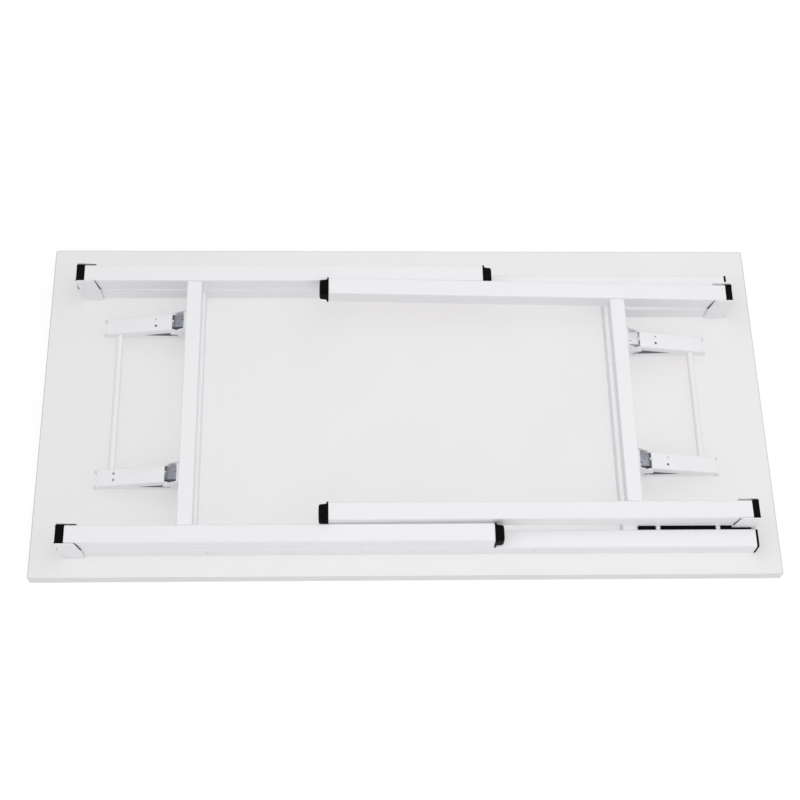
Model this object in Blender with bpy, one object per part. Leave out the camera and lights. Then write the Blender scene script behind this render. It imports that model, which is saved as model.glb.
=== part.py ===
# Folding desk lying on its worktop, both leg frames folded over the underside.
# Metres, +Z up. The worktop's face is at z = 0 and the origin is at its middle.
# Each leg frame turns on two pivot brackets, and two folding braces lock it upright.
import math

import bmesh
import bpy
from mathutils import Vector

# Fits
SEAT = 0.0003               # between pieces that touch
RUNNING = 0.0003            # round a pin
OVERRUN = 0.002             # how far a cutting solid passes the piece it cuts

# Tabletop
TOP_LENGTH = 1.200
TOP_DEPTH = 0.600
TOP_THICKNESS = 0.018
TOP_CORNER = 0.003
BAND_THICKNESS = 0.001
BAND_ROUND = 0.0005

# Square tubes of the rails and legs, and of the cross rails and crossbars
TUBE_WIDTH = 0.030
TUBE_WALL = 0.0012
TUBE_CORNER = 0.0025
BAR_WIDTH = 0.025
BAR_WALL = 0.0012
BAR_CORNER = 0.002

# Fixed frame on the underside
FRONT_MARGIN = 0.0365       # from the front edge of the top to the front long rail
BACK_MARGIN = 0.0655
LEFT_PIVOT_INSET = 0.070    # from the end of the top to the pivot axis
RIGHT_PIVOT_INSET = 0.0635
FOLD_GAP = 0.0022           # between a rail and the leg folded over it
RAIL_END_GAP = 0.019        # from the pivot axis to the end of a rail
LONG_RAIL_END_INSET = 0.0455
CROSS_RAIL_OFFSET = 0.004   # of the cross rail's middle past the crossbar's
CAP_FLANGE = 0.0025
CAP_SHANK = 0.018
CAP_ROUND = 0.0006

# Slot between a short rail and its long rail
SLOT_WIDTH = 0.007
STRIP_HEIGHT = 0.0285
STRIP_END_REACH = 0.0125    # past the pivot axis
LUG_RADIUS = 0.004
LUG_HEIGHT = 0.0255
NEAR_LUG_REACH = 0.041
FAR_LUG_INSET = 0.03175     # from the cross rail

# Leg frames
LEG_REACH = 0.664           # from the pivot axis to the foot end of the tube
LEG_DROP = 0.0025           # of the folded leg's centre line below the pivot axis
LEFT_LEG_STUB = 0.0065      # of tube past the pivot axis
RIGHT_LEG_STUB = 0.009
RIGHT_LEG_SPLAY = 0.0055    # sideways, at the foot
RIGHT_REST_DEGREES = 1.1    # the right frame's fold stop holds it this far open
CROSSBAR_SHARE = 1 / 6      # of the distance between the two pivot axes
FOOT_LENGTH = 0.0155
FOOT_SHANK = 0.014
FOOT_FLANGE = 0.0025
FOOT_FLANGE_WIDTH = 0.032
FOOT_WIDTH = 0.0295
FOOT_TIP_WIDTH = 0.0265
FOOT_CORNER = 0.004
FOOT_ROUND = 0.0015

# Black plug that caps the pivot end of a leg
PLUG_REACH = 0.0205         # past the pivot axis
PLUG_CHEEK = 0.0009
CHEEK_REACH = 0.011
PLUG_ROUND = 0.0012

# Pivot brackets
BRACKET_PLAY = 0.0004       # between a plate and the plug's cheek
BRACKET_WALL = 0.0018
BRACKET_FOLD = 0.0006       # inner radius of a fold
BRACKET_FOOT_BACK = 0.0195
BRACKET_FOOT_FRONT = 0.0185
BRACKET_TOP_BACK = 0.0165
BRACKET_TOP_FRONT = 0.0105
BRACKET_TOP_RISE = 0.0125   # over the pivot axis
BRACKET_TOP_ROUND = 0.006
PIVOT_PIN_RADIUS = 0.004
PIVOT_HEAD_RADIUS = 0.006
PIVOT_HEAD_HEIGHT = 0.0014

# Folding braces: places
BRACE_STAND_OFF = 0.02225   # from the end pins to the crossbar, folded
UPPER_PIN_DROP = 0.014      # below the pivot axis
LOWER_PIN_HEIGHT = 0.012    # over the underside
KNEE_HEIGHT = 0.018
LEFT_FRONT_BRACE_INSET = 0.0941     # from the leg's inner face to the brace's middle
LEFT_BACK_BRACE_INSET = 0.0685
RIGHT_FRONT_BRACE_INSET = 0.0764
RIGHT_BACK_BRACE_INSET = 0.0656

# Folding braces: links, pins and rod
UPPER_LINK_WIDTH = 0.030
LINK_WALL = 0.0015
LINK_PLAY = 0.0005          # between the walls of the two links
LINK_FOLD = 0.0007
LINK_WEB = 0.008            # from the pin's axis to the web's outer face
LINK_SKIRT = 0.0045         # from the pin's axis to the walls' free edge
UPPER_EAR_RADIUS = 0.0064
LOWER_EAR_RADIUS = 0.006
WEB_SET_BACK = 0.0005
LINK_HOLE_RADIUS = 0.0016
LINK_HOLE_SPACING = 0.0125
LINK_HOLE_REACH = 0.028
BRACE_PIN_RADIUS = 0.0025
BRACE_HEAD_RADIUS = 0.0045
BRACE_HEAD_HEIGHT = 0.0012
ROD_RADIUS = 0.00575
ROD_REACH = 0.0215          # from the knee
ROD_ROUND = 0.0005

# Folding braces: zinc brackets on the crossbar and bases on the cross rail
CHEEK_BRACKET_PLAY = 0.0003
CHEEK_BRACKET_WALL = 0.0015
CHEEK_BRACKET_FOLD = 0.0006
NOSE_RADIUS = 0.0055
BARREL_RADIUS = 0.004
BARREL_PLAY = 0.0004
PLATE_MARGIN = 0.0015       # from the plate's edges to the bar's corners

# Facets
CORNER_STEPS = 3
PIN_SIDES = 12
EAR_STEPS = 7
DOME_SHARES = ((1.0, 0.6), (0.45, 0.95), (0.0, 1.0))
SMOOTH_DEGREES = 35


def clear_scene():
    for old in list(bpy.data.objects):
        bpy.data.objects.remove(old, do_unlink=True)


def finish(name, colour, roughness, metallic):
    """Make a plain Principled material."""
    material = bpy.data.materials.new(name)
    material.use_nodes = True
    shader = material.node_tree.nodes["Principled BSDF"]
    shader.inputs["Base Color"].default_value = (*colour, 1.0)
    shader.inputs["Roughness"].default_value = roughness
    shader.inputs["Metallic"].default_value = metallic
    return material


# Outlines

def rounded_outline(corners, steps=CORNER_STEPS):
    """Points of a flat outline. Each corner is (u, v, radius), and its fillet has steps + 1 points."""
    points = []
    count = len(corners)
    for index, (u, v, radius) in enumerate(corners):
        here = Vector((u, v))
        if radius <= 0:
            points.append((u, v))
            continue
        before = (Vector(corners[index - 1][:2]) - here).normalized()
        after = (Vector(corners[(index + 1) % count][:2]) - here).normalized()
        half_angle = before.angle(after) / 2
        middle = here + (before + after).normalized() * (radius / math.sin(half_angle))
        start = here + before * (radius / math.tan(half_angle)) - middle
        turn = math.pi - 2 * half_angle
        if before.x * after.y - before.y * after.x > 0:
            turn = -turn
        for step in range(steps + 1):
            angle = turn * step / steps
            spoke = Vector((start.x * math.cos(angle) - start.y * math.sin(angle),
                            start.x * math.sin(angle) + start.y * math.cos(angle)))
            points.append(tuple(middle + spoke))
    return points


def rounded_rectangle(width, height, radius):
    u, v = width / 2, height / 2
    return rounded_outline([(-u, -v, radius), (u, -v, radius), (u, v, radius), (-u, v, radius)])


def circle(radius, u=0.0, v=0.0, sides=PIN_SIDES):
    turns = [2 * math.pi * (side + 0.5) / sides for side in range(sides)]
    return [(u + radius * math.cos(turn), v + radius * math.sin(turn)) for turn in turns]


def folded_section(width, open_edge, web_edge, wall, fold):
    """Cross-section of a sheet folded into a channel, whose web lies at web_edge."""
    side = 1 if web_edge > open_edge else -1
    outer = width / 2
    inner = outer - wall
    web_inside = web_edge - side * wall
    return rounded_outline([
        (-outer, open_edge, 0), (-outer, web_edge, fold + wall), (outer, web_edge, fold + wall),
        (outer, open_edge, 0), (inner, open_edge, 0), (inner, web_inside, fold),
        (-inner, web_inside, fold), (-inner, open_edge, 0)])


def link_outline(length, ear_radius):
    """Side view of a link, from the pin at 0 to the pin at length, with the web on top."""
    skirt_angle = math.asin(LINK_SKIRT / ear_radius)
    sweep = 1.5 * math.pi - skirt_angle
    points = []
    for step in range(EAR_STEPS + 1):
        angle = math.pi / 2 - sweep * step / EAR_STEPS
        points.append((length + ear_radius * math.cos(angle), ear_radius * math.sin(angle)))
    for step in range(EAR_STEPS + 1):
        angle = -skirt_angle - sweep * step / EAR_STEPS
        points.append((ear_radius * math.cos(angle), ear_radius * math.sin(angle)))
    points.append((WEB_SET_BACK, LINK_WEB))
    points.append((length - WEB_SET_BACK, LINK_WEB))
    return points


def nose_outline(reach, low, high):
    """Side view of a bracket's cheek: a round nose about the pin that widens to the plate at reach."""
    points = []
    for step in range(EAR_STEPS + 1):
        angle = math.pi / 2 + math.pi * step / EAR_STEPS
        points.append((NOSE_RADIUS * math.cos(angle), NOSE_RADIUS * math.sin(angle)))
    shoulder = reach - CHEEK_BRACKET_WALL - CHEEK_BRACKET_FOLD
    points += [(shoulder, -NOSE_RADIUS), (shoulder, low), (reach + OVERRUN, low)]
    points += [(reach + OVERRUN, high), (shoulder, high), (shoulder, NOSE_RADIUS)]
    return points


# Solids

def plane_points(outline, axis, place):
    if axis == "x":
        return [Vector((place, u, v)) for u, v in outline]
    if axis == "y":
        return [Vector((u, place, v)) for u, v in outline]
    return [Vector((u, v, place)) for u, v in outline]


def loft(rings, ring_shaped=False):
    """Skin a row of outlines that have equally many points. A ring-shaped row closes on itself."""
    solid = bmesh.new()
    loops = [[solid.verts.new(point) for point in ring] for ring in rings]
    pairs = list(zip(loops, loops[1:]))
    if ring_shaped:
        pairs.append((loops[-1], loops[0]))
    for first, second in pairs:
        for index, corner in enumerate(first):
            after = (index + 1) % len(first)
            solid.faces.new((corner, first[after], second[after], second[index]))
    if not ring_shaped:
        solid.faces.new(loops[0])
        solid.faces.new(loops[-1])
    bmesh.ops.recalc_face_normals(solid, faces=solid.faces)
    return solid


def prism(outline, axis, start, end):
    return loft([plane_points(outline, axis, start), plane_points(outline, axis, end)])


def tube(width, wall, corner, start, end):
    """Square tube along X, open at both ends."""
    outer = rounded_rectangle(width, width, corner)
    inner = rounded_rectangle(width - 2 * wall, width - 2 * wall, corner - wall)
    return loft([plane_points(outer, "x", start), plane_points(outer, "x", end),
                 plane_points(inner, "x", end), plane_points(inner, "x", start)], ring_shaped=True)


def square_stack(sections):
    """Solid along X through square sections, each (x, width, corner radius)."""
    return loft([plane_points(rounded_rectangle(width, width, corner), "x", x)
                 for x, width, corner in sections])


def rivet(grip, radius, head_radius, head_height):
    """Pin along Y with a domed head at each end, grip apart."""
    half = grip / 2
    profile = [(half + rise * head_height, head_radius * share) for rise, share in DOME_SHARES]
    profile.append((half, radius))
    mirrored = [(-place, size) for place, size in reversed(profile)]
    return loft([plane_points(circle(size), "y", place) for place, size in profile + mirrored])


def new_object(name, solid, material, parent=None, location=(0, 0, 0)):
    mesh = bpy.data.meshes.new(name)
    solid.to_mesh(mesh)
    solid.free()
    if material is not None:
        mesh.materials.append(material)
    item = bpy.data.objects.new(name, mesh)
    bpy.context.scene.collection.objects.link(item)
    item.parent = parent
    item.location = location
    return item


def shape(item, solid, operation):
    """Cut, join or intersect a piece with another solid given in the piece's own frame."""
    tool = new_object("tool", solid, None)
    tool.matrix_world = item.matrix_world
    step = item.modifiers.new("step", "BOOLEAN")
    step.solver = "EXACT"
    step.operation = operation
    step.object = tool
    bpy.context.view_layer.update()
    tool.matrix_world = item.matrix_world
    graph = bpy.context.evaluated_depsgraph_get()
    old_mesh = item.data
    item.data = bpy.data.meshes.new_from_object(item.evaluated_get(graph))
    item.modifiers.clear()
    item.data.name = item.name
    tool_mesh = tool.data
    bpy.data.objects.remove(tool)
    bpy.data.meshes.remove(tool_mesh)
    bpy.data.meshes.remove(old_mesh)


def cross_hole(item, radius, x, z, half_width):
    shape(item, prism(circle(radius, x, z), "y", -half_width - OVERRUN, half_width + OVERRUN), "DIFFERENCE")


def shade(item):
    item.data.shade_smooth()
    item.data.set_sharp_from_angle(angle=math.radians(SMOOTH_DEGREES))


def axis_empty(name, location, parent=None, tilt=0.0, heading=0.0):
    """Empty on a joint's axis. Tilt raises its +X towards +Z."""
    empty = bpy.data.objects.new(name, None)
    bpy.context.scene.collection.objects.link(empty)
    empty.parent = parent
    empty.location = location
    empty.rotation_euler = (0.0, -tilt, heading)
    return empty


# Places that follow from the sizes

FRAME_WIDTH = TOP_DEPTH - FRONT_MARGIN - BACK_MARGIN
FRAME_SHIFT = (FRONT_MARGIN - BACK_MARGIN) / 2
PIVOT_SPACING = TOP_LENGTH - LEFT_PIVOT_INSET - RIGHT_PIVOT_INSET
LONG_RAIL_Y = FRAME_WIDTH / 2 - TUBE_WIDTH / 2
SHORT_RAIL_Y = LONG_RAIL_Y - TUBE_WIDTH - SLOT_WIDTH
RAIL_INNER_WIDTH = FRAME_WIDTH - 2 * TUBE_WIDTH
RAIL_Z = SEAT + TUBE_WIDTH / 2
PIVOT_HEIGHT = RAIL_Z + TUBE_WIDTH + FOLD_GAP + LEG_DROP
CROSSBAR_REACH = PIVOT_SPACING * CROSSBAR_SHARE
CROSSBAR_FACE = CROSSBAR_REACH - BAR_WIDTH / 2
CROSS_RAIL_REACH = CROSSBAR_REACH + CROSS_RAIL_OFFSET
CROSS_RAIL_FACE = CROSS_RAIL_REACH - BAR_WIDTH / 2
FAR_LUG_REACH = CROSS_RAIL_FACE - FAR_LUG_INSET
BRACE_REACH = CROSSBAR_FACE - BRACE_STAND_OFF
PLUG_WIDTH = TUBE_WIDTH + 2 * (SEAT + PLUG_CHEEK)
BRACKET_WIDTH = PLUG_WIDTH + 2 * (BRACKET_PLAY + BRACKET_WALL)
LOWER_LINK_WIDTH = UPPER_LINK_WIDTH - 2 * (LINK_WALL + LINK_PLAY)
CHEEK_BRACKET_WIDTH = LOWER_LINK_WIDTH - 2 * (LINK_WALL + CHEEK_BRACKET_PLAY)

UNITS = {
    "left": {
        "pivot_x": LEFT_PIVOT_INSET - TOP_LENGTH / 2, "heading": 0.0, "front": -1,
        "leg_y": LONG_RAIL_Y, "stub": LEFT_LEG_STUB, "splay": 0.0, "rest": 0.0,
        "brace_insets": {"front": LEFT_FRONT_BRACE_INSET, "back": LEFT_BACK_BRACE_INSET},
        "turned_link": "front"},
    "right": {
        "pivot_x": TOP_LENGTH / 2 - RIGHT_PIVOT_INSET, "heading": math.pi, "front": 1,
        "leg_y": SHORT_RAIL_Y, "stub": RIGHT_LEG_STUB, "splay": RIGHT_LEG_SPLAY,
        "rest": math.radians(RIGHT_REST_DEGREES),
        "brace_insets": {"front": RIGHT_FRONT_BRACE_INSET, "back": RIGHT_BACK_BRACE_INSET},
        "turned_link": None},
}


def turned(point, angle):
    """Turn (x, z) about the pivot, from +X towards +Z."""
    x, z = point
    return (x * math.cos(angle) - z * math.sin(angle), x * math.sin(angle) + z * math.cos(angle))


def brace_geometry(rest):
    """Lengths and angles of a brace, in the pivot's X-Z plane, that folds at rest and is straight
    when the leg stands square to the top."""
    upper_pin = (BRACE_REACH, -UPPER_PIN_DROP)
    folded = turned(upper_pin, rest)
    standing = turned(upper_pin, math.pi / 2)
    base = (BRACE_REACH, LOWER_PIN_HEIGHT - PIVOT_HEIGHT)
    straight = math.dist(base, standing)
    knee_z = KNEE_HEIGHT - PIVOT_HEIGHT
    outside, inside = BRACE_REACH - straight, BRACE_REACH
    for _ in range(60):
        knee = ((outside + inside) / 2, knee_z)
        if math.dist(base, knee) + math.dist(knee, folded) > straight:
            outside = knee[0]
        else:
            inside = knee[0]
    return {
        "base": base, "knee": knee, "folded": folded,
        "lower": math.dist(base, knee), "upper": math.dist(knee, folded),
        "lower_tilt": math.atan2(knee[1] - base[1], knee[0] - base[0]) % (2 * math.pi),
        "upper_tilt": math.atan2(folded[1] - knee[1], folded[0] - knee[0]),
        "straight_tilt": math.atan2(standing[1] - base[1], standing[0] - base[0])}


# Tabletop

def make_tabletop(board, band):
    gap = 2 * (BAND_THICKNESS + SEAT)
    core = rounded_rectangle(TOP_LENGTH - gap, TOP_DEPTH - gap, TOP_CORNER - BAND_THICKNESS - SEAT)
    new_object("tabletop_panel", prism(core, "z", 0.0, TOP_THICKNESS), board)
    outer = rounded_rectangle(TOP_LENGTH, TOP_DEPTH, TOP_CORNER)
    eased = rounded_rectangle(TOP_LENGTH - 2 * BAND_ROUND, TOP_DEPTH - 2 * BAND_ROUND,
                              TOP_CORNER - BAND_ROUND)
    inner = rounded_rectangle(TOP_LENGTH - 2 * BAND_THICKNESS, TOP_DEPTH - 2 * BAND_THICKNESS,
                              TOP_CORNER - BAND_THICKNESS)
    rings = [(eased, 0.0), (outer, BAND_ROUND), (outer, TOP_THICKNESS - BAND_ROUND),
             (eased, TOP_THICKNESS), (inner, TOP_THICKNESS), (inner, 0.0)]
    new_object("edge_band", loft([plane_points(ring, "z", z) for ring, z in rings], ring_shaped=True), band)


# Fixed frame

def make_long_rails(steel, plastic):
    left = UNITS["left"]["pivot_x"] + RAIL_END_GAP
    right = TOP_LENGTH / 2 - LONG_RAIL_END_INSET
    shank = TUBE_WIDTH - 2 * (TUBE_WALL + SEAT)
    shank_corner = TUBE_CORNER - TUBE_WALL
    for end, side in (("front", -1), ("back", 1)):
        place = (0.0, FRAME_SHIFT + side * LONG_RAIL_Y, TOP_THICKNESS + RAIL_Z)
        rail = new_object(f"{end}_long_rail", tube(TUBE_WIDTH, TUBE_WALL, TUBE_CORNER, left, right),
                          steel, location=place)
        shade(rail)
        cap = new_object(f"{end}_rail_cap", square_stack([
            (right - CAP_SHANK, shank, shank_corner),
            (right + SEAT, shank, shank_corner),
            (right + SEAT, TUBE_WIDTH, TUBE_CORNER),
            (right + SEAT + CAP_FLANGE - CAP_ROUND, TUBE_WIDTH, TUBE_CORNER),
            (right + SEAT + CAP_FLANGE, TUBE_WIDTH - 2 * CAP_ROUND, TUBE_CORNER - CAP_ROUND),
        ]), plastic, location=place)
        shade(cap)


def make_cross_rail(name, unit, steel):
    half = RAIL_INNER_WIDTH / 2 - SEAT
    rail = new_object(f"{name}_cross_rail", tube(BAR_WIDTH, BAR_WALL, BAR_CORNER, -half, half), steel,
                      unit["empty"], (CROSS_RAIL_REACH, 0.0, SEAT + BAR_WIDTH / 2 - PIVOT_HEIGHT))
    rail.rotation_euler.z = math.pi / 2
    shade(rail)


def make_short_rail(end, side, unit, steel, plastic):
    """Rail under a leg of the narrow frame, the strip in its slot, and the lugs that bridge the slot."""
    lug_base = TUBE_WIDTH / 2 - TUBE_WALL / 2
    lug_tip = TUBE_WIDTH / 2 + SLOT_WIDTH - SEAT
    inner_end = CROSS_RAIL_FACE - SEAT
    lug_z = LUG_HEIGHT - RAIL_Z
    rail = new_object(f"{end}_short_rail", tube(TUBE_WIDTH, TUBE_WALL, TUBE_CORNER, RAIL_END_GAP, inner_end),
                      steel)
    for reach in (NEAR_LUG_REACH, FAR_LUG_REACH):
        lug = prism(circle(LUG_RADIUS, reach, lug_z), "y", side * lug_base, side * lug_tip)
        shape(rail, lug, "UNION")
    rail.parent = unit["empty"]
    rail.location = (0.0, side * SHORT_RAIL_Y, RAIL_Z - PIVOT_HEIGHT)
    shade(rail)

    slot_inner = SHORT_RAIL_Y + TUBE_WIDTH / 2 + SEAT
    slot_outer = SHORT_RAIL_Y + TUBE_WIDTH / 2 + SLOT_WIDTH - SEAT
    beside_bracket = SHORT_RAIL_Y + BRACKET_WIDTH / 2 + SEAT
    step_x = BRACKET_FOOT_FRONT + SEAT
    outline = [(inner_end, slot_inner), (inner_end, slot_outer), (-STRIP_END_REACH, slot_outer),
               (-STRIP_END_REACH, beside_bracket), (step_x, beside_bracket), (step_x, slot_inner)]
    outline = [(x, side * y) for x, y in outline]
    strip = new_object(f"{end}_slot_strip", prism(outline, "z", SEAT, STRIP_HEIGHT), plastic)
    notch = LUG_RADIUS + SEAT
    for reach in (NEAR_LUG_REACH, FAR_LUG_REACH):
        cut = rounded_outline([
            (reach - notch, LUG_HEIGHT - notch, notch / 2), (reach + notch, LUG_HEIGHT - notch, notch / 2),
            (reach + notch, STRIP_HEIGHT + OVERRUN, 0), (reach - notch, STRIP_HEIGHT + OVERRUN, 0)])
        near, far = side * (slot_inner - OVERRUN), side * (slot_outer + OVERRUN)
        shape(strip, prism(cut, "y", near, far), "DIFFERENCE")
    strip.parent = unit["empty"]
    strip.location = (0.0, 0.0, -PIVOT_HEIGHT)


def make_pivot_bracket(name, y, unit, steel):
    """Folded bracket: a foot on the underside and two slanted plates that hold the pivot pin."""
    base = SEAT - PIVOT_HEIGHT
    section = folded_section(BRACKET_WIDTH, BRACKET_TOP_RISE + OVERRUN, base, BRACKET_WALL, BRACKET_FOLD)
    bracket = new_object(f"{name}_pivot_bracket", prism(section, "x", -BRACKET_FOOT_BACK - OVERRUN,
                                                        BRACKET_FOOT_FRONT + OVERRUN), steel)
    outline = rounded_outline([
        (-BRACKET_FOOT_BACK, base - OVERRUN, 0), (BRACKET_FOOT_FRONT, base - OVERRUN, 0),
        (BRACKET_FOOT_FRONT, base + BRACKET_WALL, 0),
        (BRACKET_TOP_FRONT, BRACKET_TOP_RISE, BRACKET_TOP_ROUND),
        (-BRACKET_TOP_BACK, BRACKET_TOP_RISE, BRACKET_TOP_ROUND),
        (-BRACKET_FOOT_BACK, base + BRACKET_WALL, 0)])
    shape(bracket, prism(outline, "y", -BRACKET_WIDTH, BRACKET_WIDTH), "INTERSECT")
    cross_hole(bracket, PIVOT_PIN_RADIUS + RUNNING, 0.0, 0.0, BRACKET_WIDTH / 2)
    bracket.parent = unit["empty"]
    bracket.location = (0.0, y, 0.0)
    shade(bracket)


def make_pivot_pin(name, y, unit, steel):
    grip = BRACKET_WIDTH + 2 * SEAT
    pin = new_object(f"{name}_pivot_pin", rivet(grip, PIVOT_PIN_RADIUS, PIVOT_HEAD_RADIUS, PIVOT_HEAD_HEIGHT),
                     steel, unit["empty"], (0.0, y, 0.0))
    shade(pin)


# Leg frames

def make_leg(name, side, unit, steel, plastic):
    """Leg tube with the black plug at its pivot end and the black foot at its other end."""
    leg = new_object(f"{name}_leg", tube(TUBE_WIDTH, TUBE_WALL, TUBE_CORNER, -unit["stub"], LEG_REACH), steel)
    cross_hole(leg, PIVOT_PIN_RADIUS + RUNNING, 0.0, LEG_DROP, TUBE_WIDTH / 2)
    shade(leg)

    plug = new_object(f"{name}_plug", loft([
        plane_points(rounded_rectangle(width, height, PLUG_ROUND), "x", x) for x, width, height in (
            (-PLUG_REACH, PLUG_WIDTH - 2 * PLUG_ROUND, TUBE_WIDTH - 2 * PLUG_ROUND),
            (-PLUG_REACH + PLUG_ROUND, PLUG_WIDTH, TUBE_WIDTH),
            (CHEEK_REACH, PLUG_WIDTH, TUBE_WIDTH))]), plastic)
    shape(plug, tube(TUBE_WIDTH + 2 * SEAT, TUBE_WALL + 2 * SEAT, TUBE_CORNER + SEAT,
                     -unit["stub"] - SEAT, CHEEK_REACH + OVERRUN), "DIFFERENCE")
    cross_hole(plug, PIVOT_PIN_RADIUS + RUNNING, 0.0, LEG_DROP, PLUG_WIDTH / 2)
    plug.parent = leg
    shade(plug)

    shank = TUBE_WIDTH - 2 * (TUBE_WALL + SEAT)
    shank_corner = TUBE_CORNER - TUBE_WALL
    seat = LEG_REACH + SEAT
    end = LEG_REACH + FOOT_LENGTH
    foot = new_object(f"{name}_foot", square_stack([
        (LEG_REACH - FOOT_SHANK, shank, shank_corner),
        (seat, shank, shank_corner),
        (seat, FOOT_FLANGE_WIDTH, TUBE_CORNER),
        (seat + FOOT_FLANGE, FOOT_FLANGE_WIDTH, TUBE_CORNER),
        (seat + FOOT_FLANGE, FOOT_WIDTH, FOOT_CORNER),
        (end - FOOT_ROUND, FOOT_TIP_WIDTH, FOOT_CORNER),
        (end, FOOT_TIP_WIDTH - 2 * FOOT_ROUND, FOOT_CORNER - FOOT_ROUND),
    ]), plastic, leg)
    shade(foot)

    leg.parent = unit["leg_axis"]
    leg.location = (0.0, side * unit["leg_y"], -LEG_DROP)
    leg.rotation_euler.z = side * math.atan2(unit["splay"], LEG_REACH)


def make_crossbar(name, unit, steel):
    spread = unit["splay"] * CROSSBAR_FACE / LEG_REACH
    half = unit["leg_y"] + spread - TUBE_WIDTH / 2 - SEAT
    bar = new_object(f"{name}_crossbar", tube(BAR_WIDTH, BAR_WALL, BAR_CORNER, -half, half), steel,
                     unit["leg_axis"], (CROSSBAR_REACH, 0.0, -LEG_DROP))
    bar.rotation_euler.z = math.pi / 2
    shade(bar)


# Folding braces

def cheek_bracket(name, reach, low, high, zinc):
    """Bracket folded in plan: a plate at reach and two cheeks that run back to the pin at 0."""
    width = CHEEK_BRACKET_WIDTH
    section = folded_section(width, -NOSE_RADIUS - OVERRUN, reach, CHEEK_BRACKET_WALL, CHEEK_BRACKET_FOLD)
    plan = [(x, y) for y, x in section]
    item = new_object(name, prism(plan, "z", low - OVERRUN, high + OVERRUN), zinc)
    shape(item, prism(nose_outline(reach, low, high), "y", -width, width), "INTERSECT")
    return item


def make_brace_base(name, y, brace, unit, zinc):
    """Bracket on the cross rail's face, and the pin that carries the lower link."""
    pin_z = LOWER_PIN_HEIGHT
    base = cheek_bracket(f"{name}_brace_base", CROSS_RAIL_FACE - SEAT - BRACE_REACH,
                         PLATE_MARGIN - pin_z, BAR_WIDTH - PLATE_MARGIN - pin_z, zinc)
    cross_hole(base, BRACE_PIN_RADIUS + RUNNING, 0.0, 0.0, CHEEK_BRACKET_WIDTH / 2)
    place = (brace["base"][0], y, brace["base"][1])
    base.parent = unit["empty"]
    base.location = place
    shade(base)
    grip = LOWER_LINK_WIDTH + 2 * SEAT
    pin = new_object(f"{name}_base_pin", rivet(grip, BRACE_PIN_RADIUS, BRACE_HEAD_RADIUS, BRACE_HEAD_HEIGHT),
                     zinc, unit["empty"], place)
    shade(pin)


def make_crossbar_bracket(name, y, unit, zinc):
    """Bracket on the crossbar's face, with the barrel that the upper link's ears sit round."""
    bar_middle = UPPER_PIN_DROP - LEG_DROP
    item = cheek_bracket(f"{name}_crossbar_bracket", CROSSBAR_FACE - SEAT - BRACE_REACH,
                         -NOSE_RADIUS, bar_middle + BAR_WIDTH / 2 - PLATE_MARGIN, zinc)
    half = UPPER_LINK_WIDTH / 2 - LINK_WALL - BARREL_PLAY
    shape(item, prism(circle(BARREL_RADIUS), "y", -half, half), "UNION")
    item.parent = unit["leg_axis"]
    item.location = (BRACE_REACH, y, -UPPER_PIN_DROP)
    shade(item)


def folded_link(name, width, length, ear_radius, steel):
    section = folded_section(width, -ear_radius - OVERRUN, LINK_WEB, LINK_WALL, LINK_FOLD)
    link = new_object(name, prism(section, "x", -ear_radius - OVERRUN, length + ear_radius + OVERRUN), steel)
    shape(link, prism(link_outline(length, ear_radius), "y", -width, width), "INTERSECT")
    cross_hole(link, BRACE_PIN_RADIUS + RUNNING, 0.0, 0.0, width / 2)
    return link


def make_lower_link(name, y, brace, unit, steel, zinc):
    """Lower link and the knee pin at its outer end."""
    link = folded_link(f"{name}_lower_link", LOWER_LINK_WIDTH, brace["lower"], LOWER_EAR_RADIUS, steel)
    cross_hole(link, BRACE_PIN_RADIUS + RUNNING, brace["lower"], 0.0, LOWER_LINK_WIDTH / 2)
    link.parent = unit["lower_axis"]
    link.location = (0.0, y, 0.0)
    shade(link)
    grip = UPPER_LINK_WIDTH + 2 * SEAT
    pin = new_object(f"{name}_knee_pin", rivet(grip, BRACE_PIN_RADIUS, BRACE_HEAD_RADIUS, BRACE_HEAD_HEIGHT),
                     zinc, unit["lower_axis"], (brace["lower"], y, 0.0))
    shade(pin)


def make_upper_link(name, y, brace, unit, hole_x, steel):
    """Upper link, with rivet heads on its ears at the crossbar and two small holes in its web."""
    link = folded_link(f"{name}_upper_link", UPPER_LINK_WIDTH, brace["upper"], UPPER_EAR_RADIUS, steel)
    for side in (-1, 1):
        near = side * (UPPER_LINK_WIDTH / 2 - LINK_WALL / 2)
        far = side * (UPPER_LINK_WIDTH / 2 + BRACE_HEAD_HEIGHT)
        shape(link, prism(circle(BRACE_HEAD_RADIUS, brace["upper"]), "y", near, far), "UNION")
        hole = circle(LINK_HOLE_RADIUS, hole_x, side * LINK_HOLE_SPACING / 2)
        shape(link, prism(hole, "z", LINK_WEB - LINK_WALL - OVERRUN, LINK_WEB + OVERRUN), "DIFFERENCE")
    link.parent = unit["upper_axis"]
    link.location = (0.0, y, 0.0)
    shade(link)


def make_release_rod(name, low_y, high_y, unit, steel):
    start = low_y + UPPER_LINK_WIDTH / 2 + SEAT
    end = high_y - UPPER_LINK_WIDTH / 2 - SEAT
    rod = new_object(f"{name}_release_rod", loft([
        plane_points(circle(radius), "y", y) for y, radius in (
            (start, ROD_RADIUS - ROD_ROUND), (start + ROD_ROUND, ROD_RADIUS),
            (end - ROD_ROUND, ROD_RADIUS), (end, ROD_RADIUS - ROD_ROUND))]),
        steel, unit["upper_axis"], (ROD_REACH, 0.0, 0.0))
    shade(rod)


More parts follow.
